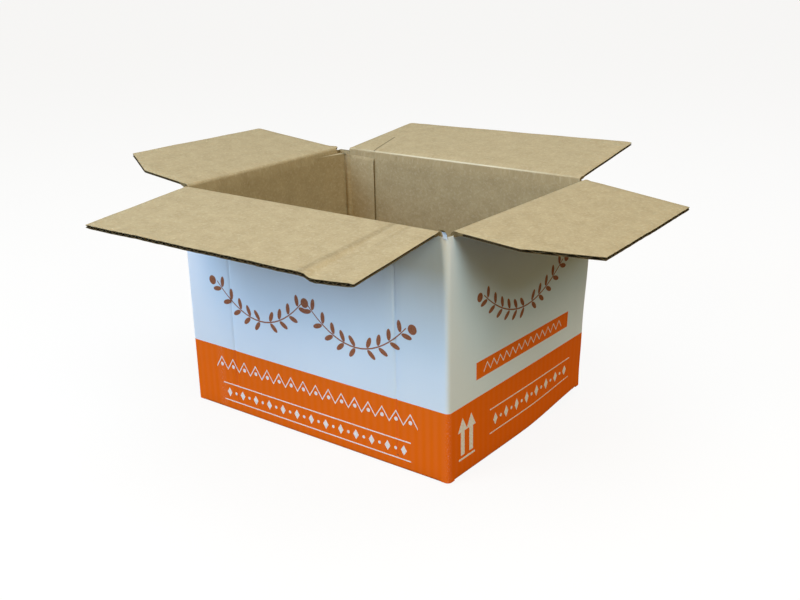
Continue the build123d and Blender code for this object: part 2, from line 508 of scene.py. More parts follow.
class CaseShell:
    """The walls, their upright folds, the glue tab and the closed bottom, as one sheet of board."""

    bend_steps = 6
    wall_step = 5.0
    level_step = 8.0
    press_sides = (-2.4, -1.2, -0.6, 0, 0.6, 1.2, 2.4)
    roll_turns = tuple(math.radians(angle) for angle in range(0, 91, 15))
    tab_shares = (*[step / 6 for step in range(6)], 0.98, 0.99, 1.0)
    # the bead's section: how far each point lies from the left wall's outer face and from the tab's
    bead_section = ((3.0, 30.0), (3.2, 25.0), (3.9, 20.0), (5.0, 15.0), (6.4, 10.0), (7.6, 6.5),
                    (8.3, 4.2), (8.9, 2.2), (9.6, 1.1), (10.6, 1.1), (11.3, 2.0), (12.2, 2.5),
                    (13.2, 2.5), (14.1, 2.0), (14.9, 1.5), (16.0, 1.2))
    bead_middle = 9.0
    bead_half = 7.0
    bead_sway = 0.35
    bead_wave = 24.0
    bead_seed = 3.1
    bead_overlap = 0.1

    def __init__(self, size: CaseSize, row: PanelRow) -> None:
        """Keep the sizes and the panels, and start the mesh.

        Args:
            size: Sizes of the case.
            row: Its panels.
        """
        self.size = size
        self.row = row
        self.thick = size.board.thickness
        self.corner = size.radius(0) + size.corner_flare
        self.mesh = BoardMesh()

    def slot_places(self, panel: Panel, top: bool) -> tuple[float, float]:
        """Give the two ends of a panel's flap, where the posts at the upright folds start.

        Args:
            panel: Panel that carries the flap.
            top: Whether it is the upper flap.

        Returns:
            The flap's start and end along the panel.
        """
        long = panel in (self.row.front, self.row.back)
        reach = self.size.long_reach if long else self.size.short_reach
        inset = self.size.root_inset if top and panel is self.row.back else 0.0
        return -reach, reach - inset

    def panel_columns(self, panel: Panel, start: float, end: float) -> list[Column]:
        """List the upright lines of a panel between two places.

        Args:
            panel: The panel.
            start: First place.
            end: Last place.

        Returns:
            The lines, closer at the panel's press lines.
        """
        stops = [press + side for press in panel.presses for side in self.press_sides]
        return [lambda z, depth, u=u: panel.spot(u, z, depth)
                for u in spread(start, end, self.wall_step, stops)]

    def bend_columns(self, before: Panel, after: Panel) -> list[Column]:
        """List the upright lines of the fold between two panels."""
        return [lambda z, depth, share=step / self.bend_steps: self.row.bend(before, after, share, z, depth)
                for step in range(self.bend_steps + 1)]

    def wall(self, columns: Sequence[Column], levels: Sequence[float], thick: float) -> None:
        """Add the outer and the inner face over some columns, closed along the first and the last.

        Args:
            columns: Upright lines from left to right, as seen from outside.
            levels: Heights from bottom to top.
            thick: Thickness of the board there.
        """
        outer = [[column(z, 0) for column in columns] for z in levels]
        inner = [[column(z, thick) for column in columns] for z in levels]
        self.mesh.strip(outer, Surface.PRINT)
        self.mesh.strip(inner, Surface.KRAFT, flip=True)
        self.mesh.cut_sides(outer, inner)

    def rim(self, columns: Sequence[Column], z: float, up: bool, thick: float,
            surface: Surface = Surface.CUT) -> None:
        """Close the board along its upper or lower edge.

        Args:
            columns: Upright lines from left to right, as seen from outside.
            z: Height of the edge.
            up: Whether it is the upper edge.
            thick: Thickness of the board there.
            surface: Which surface of the board shows there.
        """
        outer = [column(z, 0) for column in columns]
        inner = [column(z, thick) for column in columns]
        self.mesh.strip([outer, inner] if up else [inner, outer], surface)

    def add_walls(self) -> None:
        """Add the ring of walls, then a foot and a head at each upright fold, between the slots."""
        size, row = self.size, self.row
        columns = self.bend_columns(row.tab, row.left)
        for panel, after in row.folds:
            low = size.tab_bend if panel is row.left else self.corner
            columns += self.panel_columns(panel, panel.start + low, panel.end - self.corner)
            columns += self.bend_columns(panel, after)
        columns += self.panel_columns(row.back, row.back.start + self.corner, row.back.end)
        self.wall(columns, spread(size.fold_zone, size.panel_top, self.level_step), self.thick)
        for top in (False, True):
            for panel in (row.left, row.front, row.right, row.back):
                start, end = self.slot_places(panel, top)
                between = self.panel_columns(panel, max(start, panel.start + size.tab_bend), end)
                self.rim(between, size.panel_top if top else size.fold_zone, top, self.thick)
            for before, after in row.folds:
                post = self.panel_columns(before, self.slot_places(before, top)[1],
                                          before.end - self.corner)
                post += self.bend_columns(before, after)
                post += self.panel_columns(after, after.start + self.corner,
                                           self.slot_places(after, top)[0])
                self.add_post(post, top)
            self.add_post(self.bend_columns(row.tab, row.left), top)
            joint = self.panel_columns(row.back, self.slot_places(row.back, top)[1], row.back.end)
            self.add_post(joint, top)

    def add_post(self, columns: Sequence[Column], top: bool) -> None:
        """Carry an upright fold up to its head or down to its foot, between the slots.

        Args:
            columns: Upright lines of the fold and the board beside it.
            top: Whether it is the head.
        """
        size = self.size
        levels = [size.post_foot, size.fold_zone / 2, size.fold_zone]
        if top:
            levels = [size.panel_top, size.fold_height - size.fold_zone / 2,
                      size.fold_height - size.slot_drop]
        self.wall(columns, levels, self.thick)
        self.rim(columns, levels[-1] if top else levels[0], top, self.thick)

    def add_tab(self) -> None:
        """Add the glue tab, cut short at both ends, with its top running down to its free edge."""
        size, tab = self.size, self.row.tab
        start, end = tab.start, tab.end - size.tab_bend

        def column(u: float) -> Column:
            """Give an upright line of the tab, scaled to its own height and pressed flat at its top.

            Args:
                u: Place along the tab.

            Returns:
                What places a point of the line, from its share of the height and its depth.
            """
            high = size.tab_top - size.tab_slant * (end - u) / (end - start)

            def place(share: float, depth: float) -> Spot:
                """Place a point at a share of the height."""
                z = size.tab_bottom + (high - size.tab_bottom) * share
                return tab.spot(u, z, depth * (1 - size.tab_crush * smooth(size.tab_feather, 0, high - z)))

            return place

        columns = [column(u) for u in spread(start, end, self.wall_step)]
        self.wall(columns, self.tab_shares, size.tab_board)
        self.rim(columns, 0, False, size.tab_board)
        self.rim(columns, 1, True, size.tab_board, Surface.KRAFT)

    def add_corner_bead(self) -> None:
        """Add the swollen inside of the tab's fold: the wall runs in, a deep crease, then a bead."""
        size = self.size
        rows = []
        for z in spread(size.tab_bottom, size.tab_top, self.level_step):
            row = []
            for along, off in self.bead_section:
                shift = self.bead_sway * noise.noise(Vector((0, self.bead_seed, z / self.bead_wave)))
                x = along + shift * (1 - abs(along - self.bead_middle) / self.bead_half)
                row.append((x - size.half_length, size.tab_face - off, z, -off, z))
            rows.append(row)
        back_x = self.thick - size.half_length
        back_y = size.tab_face - size.tab_board + self.bead_overlap
        self.mesh.strip(rows, Surface.KRAFT)
        self.mesh.face([(back_x, back_y, size.tab_top, 0.0, 0.0), *rows[-1]], Surface.KRAFT)
        self.mesh.face([(back_x, back_y, size.tab_bottom, 0.0, 0.0), *rows[0]][::-1], Surface.KRAFT)

    def folded_strip(self, panel: Panel, reach: float, outer: Outline, inner: Outline) -> None:
        """Add a panel's foot and its bottom flap, as a section drawn out along the panel.

        Args:
            panel: Panel that carries the flap.
            reach: Half of the flap's length along the panel.
            outer: Section of the printed face from the flap's end to the wall: inset and height.
            inner: Section of the bare face, with as many points.
        """
        columns = spread(-reach, reach, self.wall_step)

        def rows(section: Outline) -> list[list[Spot]]:
            """Place a section's points on every column, with their run on the blank.

            Args:
                section: Insets and heights of its points.

            Returns:
                A row of points for each point of the section.
            """
            placed, run = [], 0.0
            for number, (inset, height) in reversed(list(enumerate(section))):
                if number < len(section) - 1:
                    after = section[number + 1]
                    run -= math.hypot(after[0] - inset, after[1] - height)
                placed.append([(*self.size.settle(*panel.plan(u, -inset), height), panel.blank_u + u,
                                self.size.fold_zone + run) for u in columns])
            return placed[::-1]

        outer_rows, inner_rows = rows(outer), rows(inner)
        self.mesh.strip(outer_rows, Surface.PRINT)
        self.mesh.strip(inner_rows, Surface.KRAFT, flip=True)
        self.mesh.strip([inner_rows[0], outer_rows[0]], Surface.CUT)
        self.mesh.strip([outer_rows[-1], inner_rows[-1]], Surface.CUT)
        self.mesh.cut_sides(outer_rows, inner_rows)

    def rolled(self, inset: float, height: float, radius: float) -> Outline:
        """Draw the quarter turn of a bottom fold, from level to upright.

        Args:
            inset: Inset of the upright face that it ends on.
            height: Height of the level face that it starts on.
            radius: Its radius.

        Returns:
            Inset and height of its points.
        """
        return [(inset + radius * (1 - math.sin(turn)), height + radius * (1 - math.cos(turn)))
                for turn in self.roll_turns]

    def add_bottom(self) -> None:
        """Add the four bottom flaps: the long ones meet at the seam, the short ones lie on them."""
        size, thick, fine = self.size, self.thick, self.size.floor_inner_radius
        for panel, shift in ((self.row.front, size.seam_shift), (self.row.back, -size.seam_shift)):
            end = size.half_width + shift - size.seam_gap / 2
            outer = [(end, 0.0), *self.rolled(0.0, 0.0, size.floor_radius), (0.0, size.fold_zone)]
            inner = [(end, thick), *self.rolled(thick, thick, fine), (thick, size.fold_zone)]
            self.folded_strip(panel, size.long_reach, outer, inner)
        for panel in (self.row.left, self.row.right):
            low, top, run, end = size.roll_clear, size.layer + thick, size.roll_run, size.flap_depth
            climb = size.half_length - size.long_reach + size.slot_clear + run
            outer = [(end, size.layer), (climb, size.layer), (run, low),
                     *self.rolled(0.0, low, size.roll_radius), (0.0, size.fold_zone)]
            inner = [(end, top), (climb, top), (run + size.roll_ramp, top),
                     *self.rolled(thick, top, fine), (thick, size.fold_zone)]
            self.folded_strip(panel, size.short_reach, outer, inner)

    def build(self, materials: Sequence[bpy.types.Material]) -> bpy.types.Object:
        """Make the shell's one mesh, in place of the plain body.

        Args:
            materials: One material for each surface of the board.

        Returns:
            The piece.
        """
        self.add_walls()
        self.add_tab()
        self.add_corner_bead()
        self.add_bottom()
        piece = self.mesh.build("case_board", materials)
        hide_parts("case_body")
        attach(piece, "case")
        return piece


@dataclass(frozen=True)
class PressLine:
    """A line pressed into a flap's bare face, from a place at its fold to one at its outer edge."""

    root: float
    edge: float
    end: float = 1.0
    fade: float = 0.05
    depth: float = 0.4
    width: float = 1.1

    def place(self, share: float) -> float:
        """Give the line's place along the flap, at a share of the way to its outer edge."""
        return self.root + (self.edge - self.root) * share

    def groove(self, u: float, share: float) -> float:
        """Tell how deep the line is at a place along the flap, at a share of the way to its edge."""
        run = 1 - smooth(self.end, self.end + self.fade, share)
        return self.depth * run * math.exp(-((u - self.place(share)) / self.width) ** 2)


FRONT_CREASE = PressLine(80.5, 81.0, depth=0.5, width=2.0)
FAINT_CREASE = PressLine(93.0, 96.0, end=0.4, depth=0.3)
BACK_CREASE = PressLine(81.0, 102.5, end=0.44, width=0.8)


@dataclass(frozen=True)
class BentCorner:
    """A flap's corner that is bent down between two lines and comes up again beyond them."""

    first: PressLine
    second: PressLine
    drop: float

    def fall(self, u: float, share: float, reach: float) -> float:
        """Tell how far the bent part lies under the flap's plane.

        Args:
            u: Place along the flap.
            share: Share of the way to its outer edge.
            reach: Half of the flap's length.

        Returns:
            The distance.
        """
        low, high = self.first.place(share), self.second.place(share)
        if u < high:
            return self.drop * share * smooth(low, high, u)
        return self.drop * share * (reach - u) / (reach - high)


@dataclass
class TopFlap:
    """A top flap, with its crease and the strip of wall that carries it, as one mesh."""

    name: str
    body: str
    panel: Panel
    size: CaseSize
    rise: float
    long: bool
    trim_side: int = 0
    trim_start: float = 47.0
    trim_inset: float = 24.0
    skew: float = 0.0
    slant: float = 0.0
    shear: float = 0.0
    taper: float = 0.0
    root_inset: float = 0.0
    root_grow: float = 0.0
    presses: tuple[PressLine, ...] = ()
    bent: BentCorner | None = None
    lift_start: float = 0.0
    lift_end: float = 0.0
    nick: float = 0.3
    crush: float = 0.75
    side_crush: float = 1.3
    mesh: BoardMesh = field(default_factory=BoardMesh)

    hollow_start = 5.0
    fan_steps = 10
    fold_square = 0.8
    fold_crush = 0.7
    fold_room = 0.2
    fold_swell = 0.3
    shares = (0, 0.04, 0.1, 0.17, 0.25, 0.33, 0.41, 0.49, 0.57, 0.65, 0.73, 0.81, 0.88, 0.94, 0.97, 1)
    side_insets = (0.3, 0.8, 1.6, 4)
    column_step = 4.0
    press_step = 1.2
    press_margin = 2.0
    blunt = 1.6
    blunt_drop = 0.5
    nick_run = 5.0
    nick_seed = 0.3
    inset_run = 60.0
    grow_run = 30.0
    grow_fade = (2.0, 9.0)
    crush_run = 6.0
    side_crush_run = 5.0
    crush_rise = 0.35
    wave_height = 0.35
    wave_run = (38.0, 30.0)
    furrow = 0.3
    furrow_place = 3.6
    furrow_width = 1.3
    medium_inset = 0.25
    medium_start = 0.2

    @property
    def fold(self) -> float:
        """Height of the line that the flap turns about."""
        return self.size.fold_height if self.long else self.size.short_fold_height

    @property
    def lift(self) -> float:
        """How far the sheet stands off its fold line, so that a short flap folds in under a long one."""
        return 0.0 if self.long else self.size.layer / 2

    @property
    def reach(self) -> float:
        """Half of the flap's length along its fold."""
        return self.size.long_reach if self.long else self.size.short_reach

    def end(self, u: float) -> float:
        """Tell how far the flap reaches from its fold: slanted edge, trimmed corner, blunt corners.

        Args:
            u: Place along the fold.

        Returns:
            The distance from the fold to the cut edge.
        """
        depth = self.size.flap_depth - self.slant * u / self.reach
        if self.trim_side:
            inset = self.reach - self.trim_side * u
            depth -= self.skew * max(0.0, (inset - self.trim_inset) / (2 * self.reach - self.trim_inset))
            if inset < self.trim_inset:
                depth = self.trim_start + (self.size.flap_depth - self.trim_start) * inset / self.trim_inset
        edge = min(self.reach - abs(u), self.blunt)
        rounded = self.blunt - math.sqrt(self.blunt ** 2 - (self.blunt - edge) ** 2)
        ragged = noise.noise(Vector((u / self.nick_run, self.panel.blank_u, self.nick_seed)))
        return depth - self.blunt_drop * rounded + self.nick * ragged

    def turned(self, u: float, out: float, height: float, turn: float, blank_v: float) -> Spot:
        """Place a point of the crease or flap.

        Args:
            u: Place along the fold.
            out: Distance outwards from the fold line, with the flap level.
            height: Height over the fold line, with the flap level.
            turn: Share of the flap's rise that the point takes.
            blank_v: Its height on the blank.

        Returns:
            The point, and its place on the blank.
        """
        share = max(0.0, out) / self.size.flap_depth
        u += (self.shear - self.taper * u / self.reach) * share
        u -= self.root_inset * smooth(self.reach - self.inset_run, self.reach, u) * (1 - share)
        if blank_v > self.fold:
            near = 1 - smooth(*self.grow_fade, out)
            u -= self.root_grow * smooth(self.grow_run - self.reach, -self.reach, u) * near
        angle = math.radians(self.rise * turn)
        across = out * math.cos(angle) - height * math.sin(angle)
        up = out * math.sin(angle) + height * math.cos(angle)
        x, y = self.panel.plan(u, across)
        return x, y, self.fold + up, self.panel.blank_u + u, blank_v

    def sheet(self, u: float, out: float, depth: float) -> Spot:
        """Place a point of the flap's sheet.

        Args:
            u: Place along the fold.
            out: Distance from the fold line.
            depth: How far over the printed face, through the board.

        Returns:
            The point, and its place on the blank.
        """
        share = out / self.size.flap_depth
        side = u / self.reach
        warp = share * (self.lift_end * (1 + side) + self.lift_start * (1 - side)) / 2
        along, outwards = self.wave_run
        ripple = noise.noise(Vector((u / along, out / outwards, self.panel.blank_u)))
        warp += self.wave_height * share * ripple
        if self.bent:
            warp -= self.bent.fall(u, share, self.reach)
        thick, edge = self.size.board.thickness, self.end(u)
        squeeze = self.crush * smooth(edge - self.crush_run, edge, out)
        at_side = smooth(self.reach - self.side_crush_run, self.reach, abs(u))
        squeeze = max(squeeze, self.side_crush * at_side)
        squashed = depth * (1 - squeeze / thick) + squeeze * self.crush_rise
        if depth > thick / 2:
            warp -= sum(press.groove(u, share) for press in self.presses)
            beside = (out - self.furrow_place - self.lift) / self.furrow_width
            warp -= self.furrow * math.exp(-beside ** 2)
        return self.turned(u, out, self.lift + squashed + warp, 1.0, self.fold + out)

    def columns(self) -> list[float]:
        """List the flap's columns, closer at its sides, trimmed corner and press lines.

        Returns:
            Their places along the fold.
        """
        stops = [side * (self.reach - inset) for side in (-1, 1) for inset in self.side_insets]
        for press in self.presses:
            low, high = sorted((press.root, press.edge))
            stops += spread(low - self.press_margin, min(high + self.press_margin, self.reach),
                            self.press_step)
        if self.trim_side:
            stops.append(self.trim_side * (self.reach - self.trim_inset))
        return spread(-self.reach, self.reach, self.column_step, stops)

    def fold_sections(self) -> tuple[Section, Section]:
        """Give the crease's two faces from the wall to the hollow sheet.

        Returns:
            The printed face and the bare face, each a list of distance out, height over the fold line,
            share of the flap's rise and height on the blank. No point lies where the blend would pull
            it off its own body.
        """
        thick, lift = self.size.board.thickness, self.lift
        wall_foot, wall_end = self.size.panel_top - self.fold, -thick - self.fold_room
        swell = self.fold_swell if self.long else 0.0
        printed = [(0, wall_foot, 0, wall_foot), (0, wall_end, 0, wall_end), (0, 0, 0, 0),
                   (thick + lift + swell, lift, 1, thick + lift)]
        bare = [(-thick, wall_foot, 0, wall_foot), (-thick, wall_end, 0, wall_end - lift)]
        run = math.pi / 2 * (thick + lift)
        for step in range(self.fan_steps + 1):
            share = step / self.fan_steps
            across = math.cos(math.pi / 2 * share) ** self.fold_square
            over = math.sin(math.pi / 2 * share) ** self.fold_square
            bare.append((lift - (lift + thick - self.fold_crush) * across,
                         (lift + thick - self.fold_crush) * over, smooth(0, 1, share), run * (share - 0.5)))
        return printed, bare

    def add_crease(self, columns: Sequence[float]) -> None:
        """Add the strip of wall, the crease over it and the solid root of the flap.

        Args:
            columns: Places along the fold.
        """
        printed, bare = self.fold_sections()
        thick, start = self.size.board.thickness, self.hollow_start + self.lift

        def rows(section: Section, depth: float) -> list[list[Spot]]:
            """Place a section on every column, and carry it on to the hollow sheet.

            Args:
                section: Its points.
                depth: How far below the printed face the sheet's face lies.

            Returns:
                A row of points for each point of the section and on the sheet.
            """
            placed = [[self.turned(u, out, height, turn, self.fold + run) for u in columns]
                      for out, height, turn, run in section]
            last = section[-1][0]
            for out in ((last + start) / 2, start) if depth else (start,):
                placed.append([self.sheet(u, out, depth) for u in columns])
            return placed

        outer, inner = rows(printed, 0), rows(bare, thick)
        self.mesh.strip(outer, Surface.PRINT)
        self.mesh.strip(inner, Surface.KRAFT, flip=True)
        self.mesh.strip([inner[0], outer[0]], Surface.CUT)
        for place in (0, -1):
            loop = [line[place] for line in outer] + [line[place] for line in reversed(inner)]
            self.mesh.face(loop if place == 0 else loop[::-1], Surface.CUT)

    def add_sheet(self, columns: Sequence[float]) -> None:
        """Add both liners from the root to the cut edge, open between them.

        Args:
            columns: Places along the fold.
        """
        board = self.size.board
        start = self.hollow_start + self.lift

        def rows(depth: float) -> list[list[Spot]]:
            """Place one face of a liner."""
            return [[self.sheet(u, start + (self.end(u) - start) * share, depth) for u in columns]
                    for share in self.shares]

        outer, low = rows(0), rows(board.liner)
        high, inner = rows(board.thickness - board.liner), rows(board.thickness)
        self.mesh.strip(outer, Surface.PRINT)
        self.mesh.strip(low, Surface.FLUTE, flip=True)
        self.mesh.strip(high, Surface.FLUTE)
        self.mesh.strip(inner, Surface.KRAFT, flip=True)
        self.mesh.strip([outer[-1], low[-1]], Surface.CUT)
        self.mesh.strip([high[-1], inner[-1]], Surface.CUT)
        self.mesh.strip([low[0], high[0]], Surface.FLUTE)
        self.mesh.cut_sides(outer, low)
        self.mesh.cut_sides(high, inner)

    def add_medium(self) -> None:
        """Add the wavy medium, glued between the liners, a little back from the cut edge."""
        board, inset = self.size.board, self.medium_inset
        start = self.hollow_start + self.lift + self.medium_start
        lines = spread(-self.reach + inset, self.reach - inset, board.pitch / board.wave_steps)

        def rows(side: float) -> list[list[Spot]]:
            """Place one face of the medium, half its thickness off the middle line.

            Args:
                side: -1 or 1, for the face towards the printed or towards the bare liner.

            Returns:
                A row of points for each of the sheet's rows.
            """
            placed = []
            for share in self.shares:
                line = []
                for u in lines:
                    depth, along, through = board.wave(self.panel.blank_u + u)
                    shifted = u + side * along * board.medium / 2
                    out = start + (self.end(u) - inset - start) * share
                    line.append(self.sheet(shifted, out, depth + side * through * board.medium / 2))
                placed.append(line)
            return placed

        outer, inner = rows(-1), rows(1)
        self.mesh.strip(outer, Surface.FLUTE)
        self.mesh.strip(inner, Surface.FLUTE, flip=True)
        self.mesh.strip([outer[-1], inner[-1]], Surface.CUT)
        self.mesh.strip([inner[0], outer[0]], Surface.FLUTE)
        self.mesh.cut_sides(outer, inner)

    def build(self, materials: Sequence[bpy.types.Material]) -> bpy.types.Object:
        """Make the flap's mesh, in place of the flap's own part.

        Args:
            materials: One material for each surface of the board.

        Returns:
            The piece.
        """
        columns = self.columns()
        self.add_crease(columns)
        self.add_sheet(columns)
        self.add_medium()
        piece = self.mesh.build(self.name + "_board", materials)
        thick = self.size.board.thickness
        start = self.turned(0, -thick, 0, 0, 0)[:3]
        end = self.turned(0, self.lift, self.lift + thick, 1, 0)[:3]
        [value * MM for value in start]
        [value * MM for value in end]
        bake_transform(piece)
        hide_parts(self.name)
        return piece


@dataclass(frozen=True)
class Grain:
    """A noise on the blank whose grains have a real size, and how strongly it shows.

    The seed moves it, detail is how many finer layers it has, and its values from low to high become
    0 to its weight.
    """

    along: float
    up: float
    seed: float
    detail: float
    low: float
    high: float
    weight: float = 1.0


@dataclass(frozen=True)
class BoardFinish:
    """What every face of the board shares: its place on the blank, its flutes and its fibres."""

    board: Board = Board()
    relief: float = 0.05
    roughness: float = 0.85
    specular: float = 0.3

    def start(self, name: str) -> tuple[bpy.types.Material, bpy.types.NodeTree]:
        """Make an empty node material.

        Args:
            name: Name of the material.

        Returns:
            The material and its tree.
        """
        material = bpy.data.materials.new(name)
        material.use_nodes = True
        material.node_tree.nodes.clear()
        return material, material.node_tree

    def blank(self, tree: bpy.types.NodeTree) -> dict[str, bpy.types.NodeSocket]:
        """Read the place on the blank, in metres, whole and split into U and V.

        Args:
            tree: Tree of the material.

        Returns:
            Its sockets, by the names place, u and v.
        """
        place = add_node(tree, "ShaderNodeUVMap", uv_map=BLANK_MAP)
        split = add_node(tree, "ShaderNodeSeparateXYZ", {"Vector": place.outputs["UV"]})
        return {"place": place.outputs["UV"], "u": split.outputs["X"], "v": split.outputs["Y"]}

    def flutes(self, tree: bpy.types.NodeTree, u: bpy.types.NodeSocket) -> bpy.types.NodeSocket:
        """Give the liner's washboard over the flutes, from 0 to 1, once for each flute.

        Args:
            tree: Tree of the material.
            u: Place along the blank.

        Returns:
            The socket that carries it.
        """
        angle = add_node(tree, "ShaderNodeMath", {0: u, 1: 2 * math.pi / (self.board.pitch * MM)},
                         operation="MULTIPLY")
        wave = add_node(tree, "ShaderNodeMath", {0: angle.outputs[0]}, operation="SINE")
        return add_node(tree, "ShaderNodeMath", {0: wave.outputs[0], 1: 0.5, 2: 0.5},
                        operation="MULTIPLY_ADD").outputs[0]

    def speckle(self, tree: bpy.types.NodeTree, place: bpy.types.NodeSocket,
                grain: Grain) -> bpy.types.NodeSocket:
        """Give a noise with grains of a real size.

        Args:
            tree: Tree of the material.
            place: Place on the blank.
            grain: The noise.

        Returns:
            The socket that carries it.
        """
        scaled = add_node(tree, "ShaderNodeMapping", {
            "Vector": place,
            "Location": (grain.seed, grain.seed * 2, 0),
            "Scale": (1 / (grain.along * MM), 1 / (grain.up * MM), 1),
        })
        cloud = add_node(tree, "ShaderNodeTexNoise", {
            "Vector": scaled.outputs["Vector"], "Scale": 1.0, "Detail": grain.detail, "Roughness": 0.6,
        })
        return add_node(tree, "ShaderNodeMapRange", {
            "Value": cloud.outputs["Fac"], "From Min": grain.low, "From Max": grain.high,
            "To Max": grain.weight,
        }).outputs["Result"]

    def flecked(self, tree: bpy.types.NodeTree, place: bpy.types.NodeSocket,
                colour: bpy.types.NodeSocket | Sequence[float], grain: Grain,
                other: str) -> bpy.types.NodeSocket:
        """Fleck a colour with grains of another one.

        Args:
            tree: Tree of the material.
            place: Place on the blank.
            colour: The colour that gets the flecks.
            grain: Their size and how strongly they show.
            other: Their colour.

        Returns:
            The socket of the flecked colour.
        """
        spots = self.speckle(tree, place, grain)
        return add_node(tree, "ShaderNodeMix", {0: spots, 6: colour, 7: linear(other)},
                        data_type="RGBA").outputs[2]

    def shade(self, tree: bpy.types.NodeTree, colour: bpy.types.NodeSocket,
              height: bpy.types.NodeSocket) -> None:
        """Wire the shader, with the finish's own relief in millimetres, roughness and faint gloss.

        Args:
            tree: Tree of the material.
            colour: Its colour.
            height: Its relief, from 0 to 1.
        """
        bump = add_node(tree, "ShaderNodeBump", {
            "Height": height, "Distance": self.relief * MM, "Strength": 1.0,
        })
        shader = add_node(tree, "ShaderNodeBsdfPrincipled", {
            "Base Color": colour, "Roughness": self.roughness, "Specular IOR Level": self.specular,
            "Normal": bump.outputs["Normal"],
        })
        add_node(tree, "ShaderNodeOutputMaterial", {"Surface": shader.outputs["BSDF"]})


@dataclass(frozen=True)
class PaintedFoldLight:
    """A line on the blank where the bare liner's colour is changed to paint light along a fold: darker as
    painted shade in a crease, lighter as a painted highlight on the top of a fold.

    It starts at U and V and runs on in V for its length, leaning by its slope. Its share is how much
    of the other colour shows along its middle.
    """

    u: float
    v: float
    slope: float
    length: float
    width: float
    share: float
    core: float = 0.3

    def mask(self, tree: bpy.types.NodeTree, blank: dict[str, bpy.types.NodeSocket]) -> bpy.types.NodeSocket:
        """Give how strongly the line shows at each place, from 0 to its share.

        Args:
            tree: Tree of the material.
            blank: The place on the blank.

        Returns:
            The socket that carries it.
        """
        leaning = add_node(tree, "ShaderNodeMath", {0: blank["v"], 1: -self.slope, 2: blank["u"]},
                           operation="MULTIPLY_ADD")
        offset = add_node(tree, "ShaderNodeMath", {
            0: leaning.outputs[0], 1: (self.u - self.slope * self.v) * MM,
        }, operation="SUBTRACT")
        away = add_node(tree, "ShaderNodeMath", {0: offset.outputs[0]}, operation="ABSOLUTE")
        near = add_node(tree, "ShaderNodeMapRange", {
            "Value": away.outputs[0], "From Min": self.core * self.width * MM,
            "From Max": self.width * MM, "To Min": self.share, "To Max": 0.0,
        })
        run = add_node(tree, "ShaderNodeMath", {
            0: blank["v"], 1: (self.v + self.length / 2) * MM, 2: self.length / 2 * MM,
        }, operation="COMPARE")
        return add_node(tree, "ShaderNodeMath", {0: near.outputs["Result"], 1: run.outputs[0]},
                        operation="MULTIPLY").outputs[0]


@dataclass(frozen=True)
class BareKraftLiner(BoardFinish):
    """Recycled kraft liner, unprinted: warm grey-brown, matt, finely mottled by its fibres."""

    body: str = "#A38F69"
    cloud: str = "#98845F"
    pale_fibre: str = "#BBAA88"
    dark_fibre: str = "#77633F"
    # painted highlight: pale colour laid along the top of the back fold
    ridge_highlight: str = "#D2C8AE"
    # painted shade: dark colour laid along the flaps' creases, where shade falls
    crease: str = "#54452A"
    clouds: Grain = Grain(12, 12, 3.1, 3, 0.35, 0.68)
    pale_flecks: Grain = Grain(2.6, 2.6, 8.4, 4, 0.5, 0.74, 0.5)
    pale_hairs: Grain = Grain(0.5, 1.4, 31.2, 4, 0.52, 0.74, 0.4)
    dark_flecks: Grain = Grain(1.9, 1.9, 21.7, 4, 0.54, 0.78, 0.42)
    fibres: Grain = Grain(0.9, 1.2, 5.0, 4, 0.3, 0.7)
    fibre_height: float = 0.9
    flute_height: float = 0.25

    def marks(self, size: CaseSize) -> list[tuple[PaintedFoldLight, str]]:
        """List the light that is painted along the bare side's folds, each with the colour that shows.

        Args:
            size: Sizes of the case, for the places of its folds.

        Returns:
            Painted shade along the creases of the back and the front flap, and a painted highlight along the
            top of the back fold.
        """
        fold, back = size.fold_height, 2 * (size.half_length + size.half_width)
        return [
            # painted shade along the back flap's crease and the front flap's two creases
            (PaintedFoldLight(back + BACK_CREASE.root, fold, slope=0.24, length=40, width=1.1, share=0.75),
             self.crease),
            (PaintedFoldLight(FRONT_CREASE.root, fold, slope=0.005, length=90, width=3.2, share=0.24), self.crease),
            (PaintedFoldLight(FAINT_CREASE.root, fold, slope=0.03, length=36, width=2.2, share=0.12), self.crease),
            # painted highlight along the top of the back fold
            (PaintedFoldLight(back, fold - 0.9, slope=0.0, length=2.2, width=size.half_length, share=0.55),
             self.ridge_highlight),
        ]

    def material(self, name: str, size: CaseSize) -> bpy.types.Material:
        """Make the material.

        Args:
            name: Name of the material.
            size: Sizes of the case, for the places of its folds.

        Returns:
            The material.
        """
        material, tree = self.start(name)
        blank = self.blank(tree)
        colour = linear(self.body)
        for grain, other in ((self.clouds, self.cloud), (self.pale_flecks, self.pale_fibre),
                             (self.pale_hairs, self.pale_fibre), (self.dark_flecks, self.dark_fibre)):
            colour = self.flecked(tree, blank["place"], colour, grain, other)
        # lays the painted crease shade and the painted highlight of the back fold over the fibres
        for mark, other in self.marks(size):
            colour = add_node(tree, "ShaderNodeMix", {
                0: mark.mask(tree, blank), 6: colour, 7: linear(other),
            }, data_type="RGBA").outputs[2]
        washboard = add_node(tree, "ShaderNodeMath", {
            0: self.flutes(tree, blank["u"]), 1: self.flute_height,
        }, operation="MULTIPLY")
        height = add_node(tree, "ShaderNodeMath", {
            0: self.speckle(tree, blank["place"], self.fibres), 1: self.fibre_height,
            2: washboard.outputs[0],
        }, operation="MULTIPLY_ADD")
        self.shade(tree, colour, height.outputs[0])
        return material


